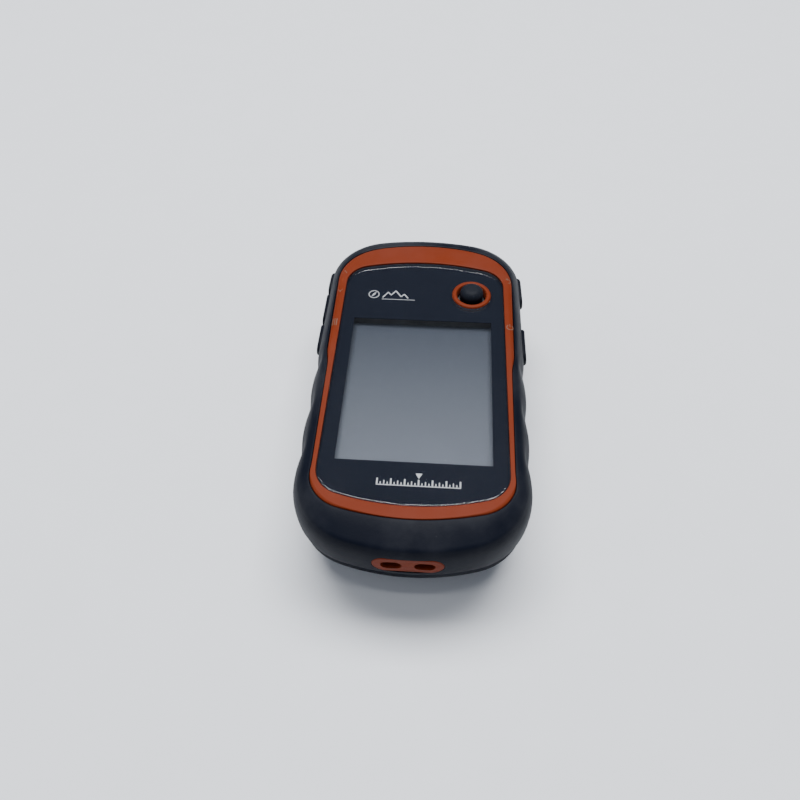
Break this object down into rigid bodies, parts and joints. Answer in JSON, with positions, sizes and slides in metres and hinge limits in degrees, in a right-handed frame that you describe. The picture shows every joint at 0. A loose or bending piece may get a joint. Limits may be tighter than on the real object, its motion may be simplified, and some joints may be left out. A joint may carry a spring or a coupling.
{
  "type": "handheld gps unit",
  "caption": "Rugged handheld satellite navigator with a tall screen, thumb stick, side keys, rubber grip, wrist loop bar and a battery cover with a slide-on mounting spine.",
  "frame": {"origin": "on the plane that the unit rests on (outer face of the mounting spine), under the middle of its outline", "axes": "+X to the right of the screen, +Y towards the thumb stick end, +Z out of the screen"},
  "size_m": [0.0546, 0.103, 0.033],
  "materials": {
    "rubber": "fine matt grain",
    "key_rubber": "smooth matt",
    "band_plastic": "satin metallic orange",
    "case_plastic": "fine spark texture",
    "lens": "polished, clear",
    "mask_ink": "printed ink",
    "display": "reflective liquid crystal",
    "light_guide": "white, satin",
    "stamped_steel": "tinned",
    "foam": "closed-cell foam",
    "ribbon_film": "amber film",
    "stick_rubber": "matt",
    "stick_plastic": "moulded",
    "pin_steel": "ground",
    "board": "solder resist over glass fibre",
    "chip": "moulded",
    "ceramic": "fired ceramic",
    "silver_pad": "printed silver",
    "cell_can": "foil sleeve over a steel can",
    "contact_metal": "nickel plate",
    "screw_steel": "black zinc",
    "seal_rubber": "soft silicone",
    "lock_plastic": "glass filled"
  },
  "bodies": {
    "case": {"antenna_block": "ceramic", "antenna_patch": "silver_pad", "battery_cells": "cell_can", "bezel_band": "band_plastic", "board_chips": "chip", "board_screws": "screw_steel", "card_holder": "chip", "case_gasket": "seal_rubber", "case_screws": "screw_steel", "contact_plates": "contact_metal", "contact_springs": "contact_metal", "display_backlight": "light_guide", "display_gasket": "foam", "display_glass": "display", "display_lens": "lens", "display_ribbon": "ribbon_film", "display_tray": "stamped_steel", "front_case": "case_plastic", "key_switches": "stick_plastic", "lanyard_insert": "band_plastic", "lens_mask": "mask_ink", "main_board": "board", "memory_card": "chip", "rear_case": "case_plastic", "receiver_shield": "stamped_steel", "rubber_grip": "rubber", "stick_base": "stick_plastic", "stick_dome": "stamped_steel", "stick_ring": "band_plastic", "stick_seal": "seal_rubber", "usb_cap_anchor": "rubber", "usb_socket": "stamped_steel"},
    "zoom_in": {"zoom_in_key": "key_rubber"},
    "zoom_out": {"zoom_out_key": "key_rubber"},
    "menu": {"menu_key": "key_rubber"},
    "back": {"back_key": "key_rubber"},
    "power": {"power_key": "key_rubber"},
    "gimbal": {"stick_gimbal": "stick_plastic"},
    "rocker": {"stick_rocker": "stick_plastic"},
    "stick": {"stick_shaft": "pin_steel", "stick_cap": "stick_rubber"},
    "port_cap": {"usb_cap": "rubber"},
    "cover": {"battery_cover": "case_plastic"},
    "lock": {"lock_knob": "lock_plastic", "lock_cam": "lock_plastic"},
    "ring": {"lock_ring": "pin_steel"}
  },
  "joints": [
    {"name": "zoom_in_press", "type": "slide", "parent": "case", "child": "zoom_in", "axis": [1, 0, 0], "range_m": [0, 0.0006], "stiffness_N_per_m": 800, "springref_m": -0.0002},
    {"name": "zoom_out_press", "type": "slide", "parent": "case", "child": "zoom_out", "axis": [1, 0, 0], "range_m": [0, 0.0006], "stiffness_N_per_m": 800, "springref_m": -0.0002},
    {"name": "menu_press", "type": "slide", "parent": "case", "child": "menu", "axis": [1, 0, 0], "range_m": [0, 0.0006], "stiffness_N_per_m": 800, "springref_m": -0.0002},
    {"name": "back_press", "type": "slide", "parent": "case", "child": "back", "axis": [-1, 0, 0], "range_m": [0, 0.0006], "stiffness_N_per_m": 800, "springref_m": -0.0002},
    {"name": "power_press", "type": "slide", "parent": "case", "child": "power", "axis": [-1, 0, 0], "range_m": [0, 0.0006], "stiffness_N_per_m": 800, "springref_m": -0.0002},
    {"name": "stick_tilt_x", "type": "hinge", "parent": "case", "child": "gimbal", "pos_m": [0.0126, 0.0246, 0.0262], "axis": [1, 0, 0], "range_deg": [-6, 6], "stiffness_Nm_per_rad": 0.02},
    {"name": "stick_tilt_y", "type": "hinge", "parent": "gimbal", "child": "rocker", "pos_m": [0.0126, 0.0246, 0.0262], "axis": [0, 1, 0], "range_deg": [-6, 6], "stiffness_Nm_per_rad": 0.02},
    {"name": "stick_press", "type": "slide", "parent": "rocker", "child": "stick", "axis": [0, 0, -1], "range_m": [0, 0.0004], "stiffness_N_per_m": 1500, "springref_m": -0.0002},
    {"name": "port_cap_swing", "type": "hinge", "parent": "case", "child": "port_cap", "pos_m": [0, 0.0427, 0.0032], "axis": [1, 0, 0], "range_deg": [0, 120]},
    {"name": "cover_swing", "type": "hinge", "parent": "case", "child": "cover", "pos_m": [0, 0.0303, 0.0032], "axis": [1, 0, 0], "range_deg": [0, 75]},
    {"name": "lock_turn", "type": "hinge", "parent": "cover", "child": "lock", "pos_m": [0, -0.0339, 0.0032], "axis": [0, 0, -1], "range_deg": [0, 90]},
    {"name": "ring_fold", "type": "hinge", "parent": "lock", "child": "ring", "pos_m": [0, -0.0339, 0.001], "axis": [1, 0, 0], "range_deg": [0, 100]}
  ]
}
